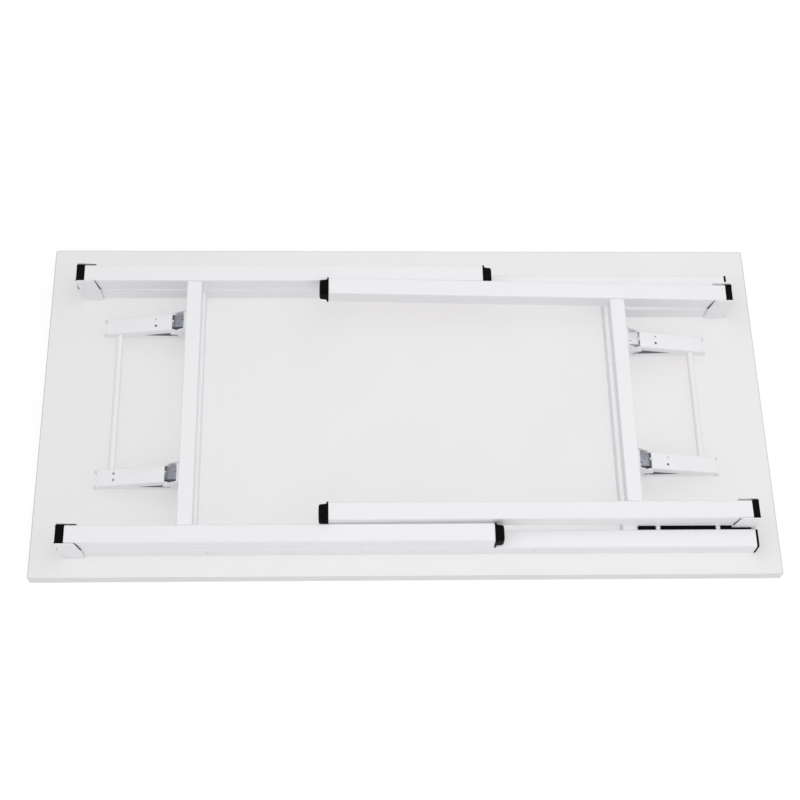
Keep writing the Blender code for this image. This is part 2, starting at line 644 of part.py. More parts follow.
def make_unit(name, unit, steel, plastic, zinc):
    """One end of the desk: its cross rail, pivots, leg frame and braces, +X towards the middle."""
    brace = brace_geometry(unit["rest"])
    unit["empty"] = axis_empty(f"{name}_pivot", (unit["pivot_x"], FRAME_SHIFT, TOP_THICKNESS + PIVOT_HEIGHT),
                               heading=unit["heading"])
    unit["leg_axis"] = axis_empty(f"{name}_leg_axis", (0, 0, 0), unit["empty"], unit["rest"])
    unit["lower_axis"] = axis_empty(f"{name}_lower_axis", (brace["base"][0], 0, brace["base"][1]),
                                    unit["empty"], brace["lower_tilt"])
    unit["upper_axis"] = axis_empty(f"{name}_upper_axis", (brace["lower"], 0, 0), unit["lower_axis"],
                                    brace["upper_tilt"] - brace["lower_tilt"])
    make_cross_rail(name, unit, steel)
    make_crossbar(name, unit, steel)
    brace_places = []
    for end, side in (("front", unit["front"]), ("back", -unit["front"])):
        piece = f"{name}_{end}"
        make_pivot_bracket(piece, side * unit["leg_y"], unit, steel)
        make_pivot_pin(piece, side * unit["leg_y"], unit, steel)
        make_leg(piece, side, unit, steel, plastic)
        y = side * (unit["leg_y"] - TUBE_WIDTH / 2 - unit["brace_insets"][end])
        brace_places.append(y)
        make_brace_base(piece, y, brace, unit, zinc)
        make_crossbar_bracket(piece, y, unit, zinc)
        make_lower_link(piece, y, brace, unit, steel, zinc)
        turned_link = unit["turned_link"] == end
        hole_x = LINK_HOLE_REACH if turned_link else brace["upper"] - LINK_HOLE_REACH
        make_upper_link(piece, y, brace, unit, hole_x, steel)
    make_release_rod(name, min(brace_places), max(brace_places), unit, steel)


def build():
    clear_scene()
    board = finish("white laminate", (0.80, 0.79, 0.78), 0.45, 0.0)
    band = finish("white edge band", (0.72, 0.71, 0.70), 0.4, 0.0)
    steel = finish("white powder coat", (0.82, 0.82, 0.83), 0.35, 0.0)
    plastic = finish("black plastic", (0.012, 0.012, 0.014), 0.5, 0.0)
    zinc = finish("zinc plate", (0.45, 0.46, 0.48), 0.35, 0.9)
    make_tabletop(board, band)
    make_long_rails(steel, plastic)
    for name, unit in UNITS.items():
        make_unit(name, unit, steel, plastic, zinc)
    narrow = UNITS["right"]
    for end, side in (("front", narrow["front"]), ("back", -narrow["front"])):
        make_short_rail(end, side, narrow, steel, plastic)


build()
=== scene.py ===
# Folding desk, lying on its worktop with both leg frames folded. Sizes are in metres.
import math

import bmesh
import bpy
from mathutils import Matrix, Vector


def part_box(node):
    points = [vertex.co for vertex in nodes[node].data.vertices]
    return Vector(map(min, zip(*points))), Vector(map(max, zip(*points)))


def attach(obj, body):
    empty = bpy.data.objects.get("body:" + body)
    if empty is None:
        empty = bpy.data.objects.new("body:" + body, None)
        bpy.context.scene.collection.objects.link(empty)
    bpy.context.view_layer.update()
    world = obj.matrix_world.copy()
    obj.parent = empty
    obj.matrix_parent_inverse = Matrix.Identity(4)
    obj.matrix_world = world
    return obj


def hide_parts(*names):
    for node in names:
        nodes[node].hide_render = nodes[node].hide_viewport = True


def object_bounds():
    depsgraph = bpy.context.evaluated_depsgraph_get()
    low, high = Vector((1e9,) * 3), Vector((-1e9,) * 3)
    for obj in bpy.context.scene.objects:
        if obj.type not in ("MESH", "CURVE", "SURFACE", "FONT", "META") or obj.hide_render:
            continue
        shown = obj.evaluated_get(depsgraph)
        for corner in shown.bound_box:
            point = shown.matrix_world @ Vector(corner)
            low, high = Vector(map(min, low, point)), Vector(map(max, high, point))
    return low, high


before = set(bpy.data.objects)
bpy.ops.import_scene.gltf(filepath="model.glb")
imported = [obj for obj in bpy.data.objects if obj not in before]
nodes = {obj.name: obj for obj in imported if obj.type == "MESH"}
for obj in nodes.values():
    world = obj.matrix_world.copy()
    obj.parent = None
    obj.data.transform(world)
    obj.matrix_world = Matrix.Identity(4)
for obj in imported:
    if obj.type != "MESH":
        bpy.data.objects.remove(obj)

cadLow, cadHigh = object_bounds()
sides = [(unit, end) for unit in ("left", "right") for end in ("front", "back")]
print("frame loaded:", len(nodes), "pieces")


# Shader nodes

def addNode(tree, kind, place=(0, 0), **settings):
    node = tree.nodes.new(kind)
    node.location = place
    for name, value in settings.items():
        setattr(node, name, value)
    return node


def setInputs(node, values):
    for name, value in values.items():
        node.inputs[name].default_value = value


def newGroup(name, inputs, outputs):
    group = bpy.data.node_groups.new(name, "ShaderNodeTree")
    for label, kind, value in inputs:
        socket = group.interface.new_socket(name=label, in_out="INPUT", socket_type=kind)
        if value is not None:
            socket.default_value = value
    for label, kind in outputs:
        group.interface.new_socket(name=label, in_out="OUTPUT", socket_type=kind)
    start = addNode(group, "NodeGroupInput", (-900, 0))
    end = addNode(group, "NodeGroupOutput", (600, 0))
    return group, start, end


# Surface relief: a slow swell with finer grain on it
def makeSurfaceGrain(fineShare=0.25):
    group, start, end = newGroup("surfaceGrain", [
        ("Vector", "NodeSocketVector", None), ("Scale", "NodeSocketFloat", 400.0),
        ("Fine Scale", "NodeSocketFloat", 1600.0), ("Strength", "NodeSocketFloat", 0.1),
        ("Distance", "NodeSocketFloat", 0.0001)],
        [("Normal", "NodeSocketVector"), ("Height", "NodeSocketFloat")])
    swell = addNode(group, "ShaderNodeTexNoise", (-600, 150))
    setInputs(swell, {"Detail": 2.0, "Roughness": 0.4})
    fine = addNode(group, "ShaderNodeTexNoise", (-600, -150))
    setInputs(fine, {"Detail": 1.0, "Roughness": 0.5})
    blend = addNode(group, "ShaderNodeMath", (-300, 0), operation="MULTIPLY_ADD")
    blend.inputs[1].default_value = fineShare
    bump = addNode(group, "ShaderNodeBump", (200, 0))
    link = group.links.new
    link(start.outputs["Vector"], swell.inputs["Vector"])
    link(start.outputs["Scale"], swell.inputs["Scale"])
    link(start.outputs["Vector"], fine.inputs["Vector"])
    link(start.outputs["Fine Scale"], fine.inputs["Scale"])
    link(fine.outputs["Fac"], blend.inputs[0])
    link(swell.outputs["Fac"], blend.inputs[2])
    link(blend.outputs["Value"], bump.inputs["Height"])
    link(start.outputs["Strength"], bump.inputs["Strength"])
    link(start.outputs["Distance"], bump.inputs["Distance"])
    link(bump.outputs["Normal"], end.inputs["Normal"])
    link(blend.outputs["Value"], end.inputs["Height"])
    return group


# Dust, specks and smears from handling
def makeHandlingMarks():
    group, start, end = newGroup("handlingMarks", [
        ("Vector", "NodeSocketVector", None), ("Color", "NodeSocketColor", (0.8, 0.8, 0.8, 1)),
        ("Dust Color", "NodeSocketColor", (0.6, 0.58, 0.55, 1)), ("Dust", "NodeSocketFloat", 0.05),
        ("Roughness", "NodeSocketFloat", 0.4), ("Smudge", "NodeSocketFloat", 0.1)],
        [("Color", "NodeSocketColor"), ("Roughness", "NodeSocketFloat")])
    broad = addNode(group, "ShaderNodeTexNoise", (-600, 200))
    setInputs(broad, {"Scale": 6.0, "Detail": 4.0, "Roughness": 0.6})
    specks = addNode(group, "ShaderNodeTexNoise", (-600, -100))
    setInputs(specks, {"Scale": 220.0, "Detail": 3.0, "Roughness": 0.7})
    patch = addNode(group, "ShaderNodeMapRange", (-350, 200))
    setInputs(patch, {"From Min": 0.35, "From Max": 0.75})
    grains = addNode(group, "ShaderNodeMapRange", (-350, -100))
    setInputs(grains, {"From Min": 0.55, "From Max": 0.8})
    cover = addNode(group, "ShaderNodeMath", (-120, 80), operation="ADD")
    amount = addNode(group, "ShaderNodeMath", (60, 80), operation="MULTIPLY")
    tint = addNode(group, "ShaderNodeMix", (260, 120), data_type="RGBA")
    smear = addNode(group, "ShaderNodeMath", (60, -200), operation="MULTIPLY_ADD")
    link = group.links.new
    for texture in (broad, specks):
        link(start.outputs["Vector"], texture.inputs["Vector"])
    link(broad.outputs["Fac"], patch.inputs["Value"])
    link(specks.outputs["Fac"], grains.inputs["Value"])
    link(patch.outputs["Result"], cover.inputs[0])
    link(grains.outputs["Result"], cover.inputs[1])
    link(cover.outputs["Value"], amount.inputs[0])
    link(start.outputs["Dust"], amount.inputs[1])
    link(amount.outputs["Value"], tint.inputs["Factor"])
    link(start.outputs["Color"], tint.inputs["A"])
    link(start.outputs["Dust Color"], tint.inputs["B"])
    link(patch.outputs["Result"], smear.inputs[0])
    link(start.outputs["Smudge"], smear.inputs[1])
    link(start.outputs["Roughness"], smear.inputs[2])
    link(tint.outputs["Result"], end.inputs["Color"])
    link(smear.outputs["Value"], end.inputs["Roughness"])
    return group


surfaceGrain = makeSurfaceGrain()
handlingMarks = makeHandlingMarks()

looks = {
    "whiteLaminate": {
        "color": (0.80, 0.787, 0.79), "dustColor": (0.70, 0.68, 0.65), "dust": 0.08,
        "roughness": 0.5, "smudge": 0.08, "slot": "white_laminate",
        "grain": 900.0, "fineGrain": 2600.0, "bump": 0.12, "depth": 0.0001},
    "whiteEdgeBand": {
        "color": (0.69, 0.675, 0.675), "dustColor": (0.60, 0.58, 0.56), "dust": 0.08,
        "roughness": 0.42, "smudge": 0.06, "slot": "white_edge_band",
        "grain": 700.0, "fineGrain": 2400.0, "bump": 0.08, "depth": 0.0001},
    "whitePowderCoat": {
        "color": (0.795, 0.795, 0.815), "dustColor": (0.68, 0.67, 0.67), "dust": 0.05,
        "roughness": 0.34, "smudge": 0.08, "slot": "white_powder_coat",
        "grain": 420.0, "fineGrain": 1500.0, "bump": 0.16, "depth": 0.00015},
    "thinCoatPaintedShade": {     # inside the channels: a thin coat of powder, darkened further as painted shade for the slits
        "color": (0.22, 0.23, 0.26), "dustColor": (0.20, 0.20, 0.21), "dust": 0.3,
        "roughness": 0.5, "smudge": 0.1, "slot": "white_powder_coat",
        "grain": 420.0, "fineGrain": 1800.0, "bump": 0.2, "depth": 0.0001},
    "blackPlastic": {
        "color": (0.0015, 0.0015, 0.002), "dustColor": (0.03, 0.03, 0.03), "dust": 0.03, "specular": 0.04,
        "roughness": 0.46, "smudge": 0.12, "slot": "black_plastic",
        "grain": 1400.0, "fineGrain": 4000.0, "bump": 0.3, "depth": 0.00012},
    "zincPlate": {
        "color": (0.21, 0.222, 0.25), "dustColor": (0.10, 0.10, 0.11), "dust": 0.35, "metallic": 0.85,
        "roughness": 0.30, "smudge": 0.2, "slot": "zinc_plate",
        "grain": 260.0, "fineGrain": 1800.0, "bump": 0.15, "depth": 0.0001},
    # a lighter copy of the zinc plate: a painted highlight for one hood
    "zincPaintedHighlight": {
        "color": (0.62, 0.62, 0.65), "dustColor": (0.40, 0.40, 0.41), "dust": 0.2, "metallic": 0.2,
        "roughness": 0.40, "smudge": 0.1, "slot": "zinc_plate",
        "grain": 260.0, "fineGrain": 1800.0, "bump": 0.15, "depth": 0.0001},
}


def makeMaterial(name, look):
    material = bpy.data.materials.new(name)
    material.use_nodes = True
    tree = material.node_tree
    shader = tree.nodes["Principled BSDF"]
    setInputs(shader, {"Metallic": look.get("metallic", 0.0),
                       "Specular IOR Level": look.get("specular", 0.5)})
    place = addNode(tree, "ShaderNodeTexCoord", (-1100, 0))
    marks = addNode(tree, "ShaderNodeGroup", (-500, 100), node_tree=handlingMarks)
    setInputs(marks, {"Color": (*look["color"], 1), "Dust Color": (*look["dustColor"], 1),
                      "Dust": look["dust"], "Roughness": look["roughness"], "Smudge": look["smudge"]})
    grain = addNode(tree, "ShaderNodeGroup", (-500, -250), node_tree=surfaceGrain)
    setInputs(grain, {"Scale": look["grain"], "Fine Scale": look["fineGrain"],
                      "Strength": look["bump"], "Distance": look["depth"]})
    link = tree.links.new
    for group in (marks, grain):
        link(place.outputs["Object"], group.inputs["Vector"])
    link(marks.outputs["Color"], shader.inputs["Base Color"])
    link(marks.outputs["Roughness"], shader.inputs["Roughness"])
    link(grain.outputs["Normal"], shader.inputs["Normal"])
    return material


def lookOfNode(nodeName):
    if nodeName == "tabletop_panel":
        return "whiteLaminate"
    if nodeName == "edge_band":
        return "whiteEdgeBand"
    if nodeName.endswith(("_cap", "_strip", "_plug", "_foot")):
        return "blackPlastic"
    if nodeName.endswith("_crossbar_bracket"):
        return "zincPlate"
    return "whitePowderCoat"


materials = {name: makeMaterial(name, look) for name, look in looks.items()}
for nodeName, node in nodes.items():
    node.data.materials.clear()
    node.data.materials.append(materials[lookOfNode(nodeName)])
print("materials made")


# Modelling steps

near = 0.001            # within this of a level, or past a wall when it is drilled
atPlane = 0.0001        # in a plane, within rounding


def deselectAll():
    if bpy.context.object and bpy.context.object.mode != "OBJECT":
        bpy.ops.object.mode_set(mode="OBJECT")
    bpy.ops.object.select_all(action="DESELECT")


def takeUp(piece):
    deselectAll()
    piece.select_set(True)
    bpy.context.view_layer.objects.active = piece


def applyPlace(name):
    piece = bpy.context.object
    piece.name = name
    piece.data.name = name
    bpy.ops.object.transform_apply(location=True, rotation=True, scale=True)
    return piece


def startBlock(name, low, high):
    deselectAll()
    centre = [(a + b) / 2 for a, b in zip(low, high)]
    bpy.ops.mesh.primitive_cube_add(size=1.0, location=centre, scale=[b - a for a, b in zip(low, high)])
    return applyPlace(name)


def startRod(name, radius, start, end, sideCount=24):
    deselectAll()
    start, end = Vector(start), Vector(end)
    bpy.ops.mesh.primitive_cylinder_add(
        vertices=sideCount, radius=radius, depth=(end - start).length, location=(start + end) / 2,
        rotation=(end - start).to_track_quat("Z", "Y").to_euler())
    return applyPlace(name)


# Open a piece in edit mode, with all of it selected or none
def editPiece(piece, action="SELECT"):
    if piece.mode != "EDIT":
        takeUp(piece)
        bpy.ops.object.mode_set(mode="EDIT")
    bpy.ops.mesh.select_all(action=action)


# Select the faces, edges or corners of a piece that pass a test
def pick(piece, kind, test):
    editPiece(piece, "DESELECT")
    bpy.ops.mesh.select_mode(type=kind)
    mesh = bmesh.from_edit_mesh(piece.data)
    mesh.normal_update()
    for part in {"FACE": mesh.faces, "EDGE": mesh.edges, "VERT": mesh.verts}[kind]:
        if test(part):
            part.select_set(True)
    bmesh.update_edit_mesh(piece.data)


def facing(direction, limit=0.9):
    direction = Vector(direction)
    return lambda face: face.normal.dot(direction) > limit


def along(axis, limit=0.9):
    return lambda edge: abs((edge.verts[1].co - edge.verts[0].co).normalized()[axis]) > limit


def middleOf(edge):
    return (edge.verts[0].co + edge.verts[1].co) / 2


# Cut off what lies past a plane, and close the cut
def cutOff(piece, point, direction):
    editPiece(piece)
    bpy.ops.mesh.bisect(plane_co=point, plane_no=direction, clear_outer=True, use_fill=True)


def bevelEdges(piece, test, width, segments=3):
    pick(piece, "EDGE", test)
    bpy.ops.mesh.bevel(offset=width, segments=segments, affect="EDGES", clamp_overlap=True)


def extrudeBy(move):
    bpy.ops.mesh.extrude_region_move(TRANSFORM_OT_translate={"value": move})


def applyModifier(piece, kind, **settings):
    takeUp(piece)
    step = piece.modifiers.new("step", kind)
    for name, value in settings.items():
        setattr(step, name, value)
    bpy.ops.object.modifier_apply(modifier=step.name)


def easeEdges(piece, width, segments=2, degrees=40):
    applyModifier(piece, "BEVEL", width=width, segments=segments, limit_method="ANGLE",
                  angle_limit=math.radians(degrees), harden_normals=False)


def dropPieces(*pieces):
    for piece in pieces:
        bpy.data.objects.remove(piece, do_unlink=True)


def drill(piece, radius, start, end, sideCount=24):
    hole = startRod("hole", radius, start, end, sideCount)
    applyModifier(piece, "BOOLEAN", operation="DIFFERENCE", solver="EXACT", object=hole)
    dropPieces(hole)


def joinPieces(name, pieces):
    takeUp(pieces[0])
    for other in pieces[1:]:
        other.select_set(True)
    if len(pieces) > 1:
        bpy.ops.object.join()
    pieces[0].name = name
    pieces[0].data.name = name
    return pieces[0]


def copyPiece(source, name, matrix):
    piece = source.copy()
    piece.data = source.data.copy()
    piece.name = name
    piece.data.name = name
    bpy.context.scene.collection.objects.link(piece)
    piece.data.transform(matrix)
    return piece


# A CAD node's mesh as a piece of its own, its loose triangles merged
def copyNode(nodeName, name, mergeDistance=0.00001, flatDegrees=0.5):
    piece = nodes[nodeName].copy()
    piece.data = nodes[nodeName].data.copy()
    piece.name = name
    piece.data.name = name
    piece.parent = None
    piece.matrix_world = Matrix.Identity(4)
    bpy.context.scene.collection.objects.link(piece)
    editPiece(piece)
    bpy.ops.mesh.remove_doubles(threshold=mergeDistance)
    bpy.ops.mesh.dissolve_limited(angle_limit=math.radians(flatDegrees))
    bpy.ops.object.mode_set(mode="OBJECT")
    return piece


def finishPiece(piece, look, body, replaced=None, degrees=35):
    takeUp(piece)
    bpy.ops.object.shade_smooth_by_angle(angle=math.radians(degrees))
    piece.data.materials.clear()
    piece.data.materials.append(materials[look])
    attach(piece, body)
    if replaced:
        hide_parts(replaced)


def middle(nodeName):
    low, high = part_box(nodeName)
    return (Vector(low) + Vector(high)) / 2


# A unit's own frame: +X runs from its pivot towards the middle of the desk
def unitTurn(unit):
    return Matrix.Rotation(0.0 if unit == "left" else math.pi, 4, "Z")


def placeAt(unit, point, tilt=0.0, splay=0.0):
    return (Matrix.Translation(point) @ unitTurn(unit) @ Matrix.Rotation(-tilt, 4, "Y")
            @ Matrix.Rotation(splay, 4, "Z"))


# Pivot brackets: a base on the underside and two side plates with slanted edges
pivotBracket = {
    "wall": 0.0018, "foldRadius": 0.0014, "cornerRadius": 0.0035, "ease": 0.0003,
    "footBack": {"left": 0.0140, "right": 0.0195}, "footRise": {"left": 0.0, "right": 0.0036},
    "topBack": 0.0202, "topRise": 0.0150,
    "front": ((0.0186, -0.0480), (0.0168, -0.0185), (0.0100, 0.0150)),      # seen from the pin
    "holeRadius": 0.0044, "holeFrom": 0.004, "holeTo": 0.002,
    "baseFacing": 0.7, "plateFacing": 0.1,      # faces that look neither down nor sideways are left out
}


def makePivotBracket(unit):
    low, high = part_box(f"{unit}_front_pivot_bracket")
    pin = middle(f"{unit}_front_pivot_pin")
    halfWidth = (high[1] - low[1]) / 2
    base, top = low[2] - pin.z + pivotBracket["footRise"][unit], pivotBracket["topRise"]
    footBack, topBack = pivotBracket["footBack"][unit], pivotBracket["topBack"]
    front = pivotBracket["front"]
    reach = max(topBack, footBack)
    bracket = startBlock("pivotBracket", (-reach, -halfWidth, base), (front[0][0], halfWidth, top))
    for (lowX, lowZ), (highX, highZ) in zip(front, front[1:]):
        cutOff(bracket, (lowX, 0, lowZ), (highZ - lowZ, 0, lowX - highX))
    cutOff(bracket, (-footBack, 0, base), (base - top, 0, footBack - topBack))
    bevelEdges(bracket, lambda edge: along(1)(edge) and middleOf(edge).z > top - near,
               pivotBracket["cornerRadius"], segments=4)
    bevelEdges(bracket, lambda edge: along(0)(edge) and middleOf(edge).z < base + near,
               pivotBracket["foldRadius"], segments=3)
    pick(bracket, "FACE", lambda face: not facing((0, 0, -1), pivotBracket["baseFacing"])(face)
         and abs(face.normal.y) < pivotBracket["plateFacing"])
    bpy.ops.mesh.delete(type="FACE")
    applyModifier(bracket, "SOLIDIFY", thickness=pivotBracket["wall"], offset=-1.0, use_even_offset=True)
    easeEdges(bracket, pivotBracket["ease"])
    for side in (-1, 1):
        drill(bracket, pivotBracket["holeRadius"], (0, side * (halfWidth - pivotBracket["holeFrom"]), 0),
              (0, side * (halfWidth + pivotBracket["holeTo"]), 0))
    return bracket


for unit in ("left", "right"):
    master = makePivotBracket(unit)
    for end in ("front", "back"):
        bracket = copyPiece(master, f"{unit}_{end}_bracket_plates",
                            placeAt(unit, middle(f"{unit}_{end}_pivot_pin")))
        finishPiece(bracket, "whitePowderCoat", "tabletop_frame", f"{unit}_{end}_pivot_bracket")
    dropPieces(master)
print("pivot brackets made")


# Feet: a flange at the tube's end, a pad that narrows to a crowned end, and a shank in the tube
foot = {
    "flange": 0.0028, "flangeWidth": 0.0318, "corner": 0.0026, "ease": 0.0004,
    "padWidth": 0.0292, "padCorner": 0.0062, "root": 0.0012, "lap": 0.0004,
    "padSteps": (       # how far the pad rises, and the share of its width that is left
        (0.0012, 0.955), (0.0070, 0.965), (0.0016, 0.965), (0.0009, 0.925), (0.0005, 0.86), (0.0002, 0.7)),
    "shank": 0.013, "shankWidth": 0.0266, "play": 0.0002,
    "cadShank": 0.014,  # of the CAD foot, whose middle gives the place
}
footLength = foot["flange"] + foot["root"] + sum(rise for rise, share in foot["padSteps"])


def makeFoot():
    half, padHalf = foot["flangeWidth"] / 2, foot["padWidth"] / 2
    flange = startBlock("flange", (0, -half, -half), (foot["flange"], half, half))
    bevelEdges(flange, along(0), foot["corner"], segments=4)
    pick(flange, "FACE", facing((-1, 0, 0)))
    bpy.ops.mesh.inset(thickness=(foot["flangeWidth"] - foot["shankWidth"]) / 2)
    extrudeBy((-foot["shank"], 0, 0))
    easeEdges(flange, foot["ease"])
    start = foot["flange"] - foot["lap"]
    pad = startBlock("pad", (start, -padHalf, -padHalf), (foot["flange"] + foot["root"], padHalf, padHalf))
    bevelEdges(pad, along(0), foot["padCorner"], segments=5)
    pick(pad, "FACE", facing((1, 0, 0)))
    for rise, share in foot["padSteps"]:
        extrudeBy((rise, 0, 0))
        bpy.ops.transform.resize(value=(1, share, share))
    return joinPieces("foot", [flange, pad])


# The right frame rests a little open, and its legs spread towards their feet
legFrame = {
    "tilt": {"left": 0.0, "right": 1.1},        # degrees
    "spread": {"left": 0.0, "right": 0.0055}, "length": 0.664,
}


def legTilt(unit):
    return math.radians(legFrame["tilt"][unit])


def legTurn(unit, end):
    outward = 1 if (end == "back") == (unit == "left") else -1
    splay = math.atan2(legFrame["spread"][unit], legFrame["length"])
    return placeAt(unit, (0, 0, 0), legTilt(unit), outward * splay)


footMaster = makeFoot()
for unit, end in sides:
    name = f"{unit}_{end}_foot"
    turn = legTurn(unit, end)
    wholeLength = footLength + foot["cadShank"]
    centre = middle(name) + turn @ Vector((wholeLength / 2 - footLength - foot["play"], 0, 0))
    finishPiece(copyPiece(footMaster, f"{unit}_{end}_foot_pad", Matrix.Translation(centre) @ turn),
                "blackPlastic", f"{unit}_leg_frame", name)
dropPieces(footMaster)
print("feet made")


# Black plugs at the pivot ends of the legs: a cap past the tube's end and two thin cheeks
plug = {
    "reach": 0.0205, "stub": {"left": 0.0065, "right": 0.0090}, "gap": 0.0003,     # stub: tube past the pin
    "round": 0.0012, "dish": 0.0030, "dishDepth": 0.0006,
    "cheekTop": 0.0114, "cheekFoot": 0.0176, "cheekWall": 0.0008, "lap": 0.0004,
    "cheekDrop": {"left": 0.0, "right": 0.0024}, "belowPin": 0.0025,
}


def makePlug(unit):
    low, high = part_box("left_front_plug")
    halfWidth, halfHeight = (high[1] - low[1]) / 2, (high[2] - low[2]) / 2
    tubeEnd = -plug["stub"][unit] - plug["gap"]
    cap = startBlock("plug", (-plug["reach"], -halfWidth, -halfHeight), (tubeEnd, halfWidth, halfHeight))
    bevelEdges(cap, lambda edge: min(v.co.x for v in edge.verts) < tubeEnd - near, plug["round"], segments=3)
    pick(cap, "FACE", facing((-1, 0, 0)))
    bpy.ops.mesh.inset(thickness=plug["dish"])
    bpy.ops.mesh.inset(thickness=plug["dishDepth"])
    bpy.ops.transform.translate(value=(plug["dishDepth"], 0, 0))
    base, top = -halfHeight + plug["round"], halfHeight - plug["round"] - plug["cheekDrop"][unit]
    cheeks = []
    for side in (-1, 1):
        front, back = sorted((side * halfWidth, side * (halfWidth - plug["cheekWall"])))
        cheek = startBlock("cheek", (tubeEnd - plug["lap"], front, base), (plug["cheekFoot"], back, top))
        cutOff(cheek, (plug["cheekFoot"], 0, base), (top - base, 0, plug["cheekFoot"] - plug["cheekTop"]))
        deselectAll()
        cheeks.append(cheek)
    return joinPieces("plug", [cap, *cheeks])


for unit in ("left", "right"):
    master = makePlug(unit)
    for end in ("front", "back"):
        place = (Matrix.Translation(middle(f"{unit}_{end}_pivot_pin")) @ legTurn(unit, end)
                 @ Matrix.Translation((0, 0, -plug["belowPin"])))
        finishPiece(copyPiece(master, f"{unit}_{end}_plug_cap", place), "blackPlastic",
                    f"{unit}_leg_frame", f"{unit}_{end}_plug")
    dropPieces(master)
print("plugs made")


# End caps of the long rails
railCap = {"flange": 0.0038, "corner": 0.0026, "ease": 0.0009, "shankWidth": 0.027, "play": 0.0002}


def makeRailCap(end):
    low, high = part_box(f"{end}_long_rail")
    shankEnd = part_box(f"{end}_rail_cap")[0][0]
    start = high[0] + railCap["play"]
    cap = startBlock(f"{end}_rail_end_cap", (start, low[1], low[2]),
                     (start + railCap["flange"], high[1], high[2]))
    bevelEdges(cap, along(0), railCap["corner"], segments=4)
    pick(cap, "EDGE", lambda edge: min(v.co.x for v in edge.verts) > start + railCap["flange"] - atPlane)
    bpy.ops.mesh.bevel(offset=railCap["ease"], segments=3, affect="EDGES")
    pick(cap, "FACE", facing((-1, 0, 0)))
    bpy.ops.mesh.inset(thickness=(high[1] - low[1] - railCap["shankWidth"]) / 2)
    extrudeBy((shankEnd - start, 0, 0))
    finishPiece(cap, "blackPlastic", "tabletop_frame", f"{end}_rail_cap")


for end in ("front", "back"):
    makeRailCap(end)
print("rail caps made")


# Front long rail with three small holes in its front wall
railHoles = {"radius": 0.0022, "places": (-0.318, -0.074, 0.20), "depth": 0.004}


def makeFrontRail():
    low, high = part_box("front_long_rail")
    rail = copyNode("front_long_rail", "front_rail_tube")
    height = (low[2] + high[2]) / 2
    for place in railHoles["places"]:
        drill(rail, railHoles["radius"], (place, low[1] - near, height),
              (place, low[1] + railHoles["depth"], height), sideCount=20)
    finishPiece(rail, "whitePowderCoat", "tabletop_frame", "front_long_rail")


makeFrontRail()
print("front rail made")


# Welds that bridge the slot beside each short rail
slotWeld = {
    "length": 0.0062, "width": 0.0064, "rise": 0.0017, "sink": 0.0007,
    "fromPivot": 0.041, "fromCrossRail": 0.03175, "taper": (1.0, 0.8, 0.9),
}


def makeSlotWelds():
    pieces = []
    for end in ("front", "back"):
        low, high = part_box(f"{end}_short_rail")
        outward = 1 if end == "back" else -1
        slotMiddle = (high[1] if outward > 0 else low[1]) - outward * slotWeld["width"] / 2
        pivot = middle(f"right_{end}_pivot_pin")
        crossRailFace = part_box("right_cross_rail")[1][0]
        for x in (pivot.x - slotWeld["fromPivot"], crossRailFace + slotWeld["fromCrossRail"]):
            deselectAll()
            bpy.ops.mesh.primitive_uv_sphere_add(
                segments=20, ring_count=10, radius=0.5,
                location=(x, slotMiddle, high[2] - slotWeld["sink"]),
                scale=(slotWeld["length"], slotWeld["width"], slotWeld["rise"] * 2))
            weld = applyPlace("weld")
            pick(weld, "VERT", lambda corner: corner.co.x > x + slotWeld["length"] / 4)
            bpy.ops.transform.resize(value=slotWeld["taper"])
            pieces.append(weld)
    finishPiece(joinPieces("slot_welds", pieces), "whitePowderCoat", "tabletop_frame", degrees=180)


makeSlotWelds()
print("slot welds made")


# The pin that an upper link shares with its crossbar bracket
pinPlace = {"fromBar": 0.0220, "aboveFoot": 0.0055}


def upperPin(unit, end):
    low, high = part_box(f"{unit}_{end}_crossbar_bracket")
    barLow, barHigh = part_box(f"{unit}_crossbar")
    inward = 1 if unit == "left" else -1
    barFace = barLow[0] if unit == "left" else barHigh[0]
    return Vector((barFace - inward * pinPlace["fromBar"], (low[1] + high[1]) / 2,
                   low[2] + pinPlace["aboveFoot"]))


# Brace links, with the inside of each channel thinly coated and darkened as painted shade
brace = {
    "coatedEnd": 0.026,         # this near to the knee, the powder reaches the inside too, and no shade is painted there
    "webDepth": 0.004, "facing": 0.7,
    "holeRadius": 0.0022, "holeSpacing": 0.0107, "holeReach": 0.0280, "holeFrom": 0.004, "holeTo": 0.011,
}


def makeLink(nodeName, body):
    link = copyNode(nodeName, f"{nodeName}_channel")
    centre = middle(nodeName)
    low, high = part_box(nodeName)
    opensUp = "lower" in nodeName
    kneeX = middle(nodeName.replace("_upper_link", "_knee_pin").replace("_lower_link", "_knee_pin")).x
    inner = kneeX + math.copysign(brace["coatedEnd"], centre.x - kneeX)
    editPiece(link)
    bpy.ops.mesh.bisect(plane_co=(inner, 0, 0), plane_no=(1, 0, 0))
    finishPiece(link, "whitePowderCoat", body, nodeName)
    # the inner faces get the thin coat that is darkened as painted shade
    link.data.materials.append(materials["thinCoatPaintedShade"])
    for face in link.data.polygons:
        normal = face.normal
        flangeInside = (face.center.y - centre.y) * normal.y < 0 and abs(normal.y) > brace["facing"]
        depth = high[2] - face.center.z if opensUp else face.center.z - low[2]
        webInside = (abs(normal.z) > brace["facing"] and (normal.z > 0) == opensUp
                     and depth > brace["webDepth"])
        nearKnee = (face.center.x - inner) * (centre.x - inner) < 0
        if (flangeInside or webInside) and not nearKnee:
            face.material_index = 1


